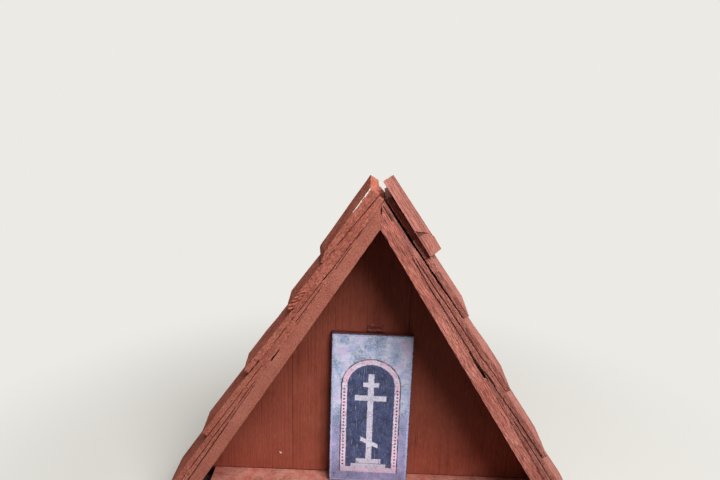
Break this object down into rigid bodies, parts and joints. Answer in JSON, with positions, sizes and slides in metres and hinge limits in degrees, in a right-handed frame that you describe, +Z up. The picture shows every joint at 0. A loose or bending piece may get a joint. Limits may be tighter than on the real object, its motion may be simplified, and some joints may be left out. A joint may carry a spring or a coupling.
{
  "type": "a-frame wayside shrine",
  "caption": "Small free-standing A-frame shrine in painted wood: slope boards roofed with split shakes over a niche with a floor, a boarded back and a leaning icon panel.",
  "frame": {"origin": "on the ground, under the middle of the shrine", "axes": "+Z up, +X to the right seen from the front, the open front faces -Y"},
  "size_m": [0.7866, 0.1271, 0.6609],
  "materials": {
    "frame_paint": "rough-sawn, brick red stain, weathered",
    "shake_paint": "split shakes, brick red stain, peeled in spots",
    "floor_paint": "rough-sawn, brick red stain",
    "back_paint": "rough-sawn upright grain, brick red stain",
    "icon_print": "printed panel, satin, rubbed edges",
    "hanger_paint": "painted over with the back"
  },
  "bodies": {
    "root": {"left_slope_board": "frame_paint", "right_slope_board": "frame_paint", "floor_board": "floor_paint", "left_floor_cleat": "floor_paint", "right_floor_cleat": "floor_paint", "left_back_board": "back_paint", "middle_back_board": "back_paint", "right_back_board": "back_paint", "icon_panel": "icon_print", "icon_hanger": "hanger_paint", "left_starter_shake": "shake_paint", "left_shake_1": "shake_paint", "left_shake_2": "shake_paint", "left_shake_3": "shake_paint", "left_shake_4": "shake_paint", "right_starter_shake": "shake_paint", "right_shake_1": "shake_paint", "right_shake_2": "shake_paint", "right_shake_3": "shake_paint", "right_shake_4": "shake_paint", "left_cap_shake": "shake_paint", "right_under_cap_shake": "shake_paint", "right_cap_shake": "shake_paint"}
  },
  "joints": []
}
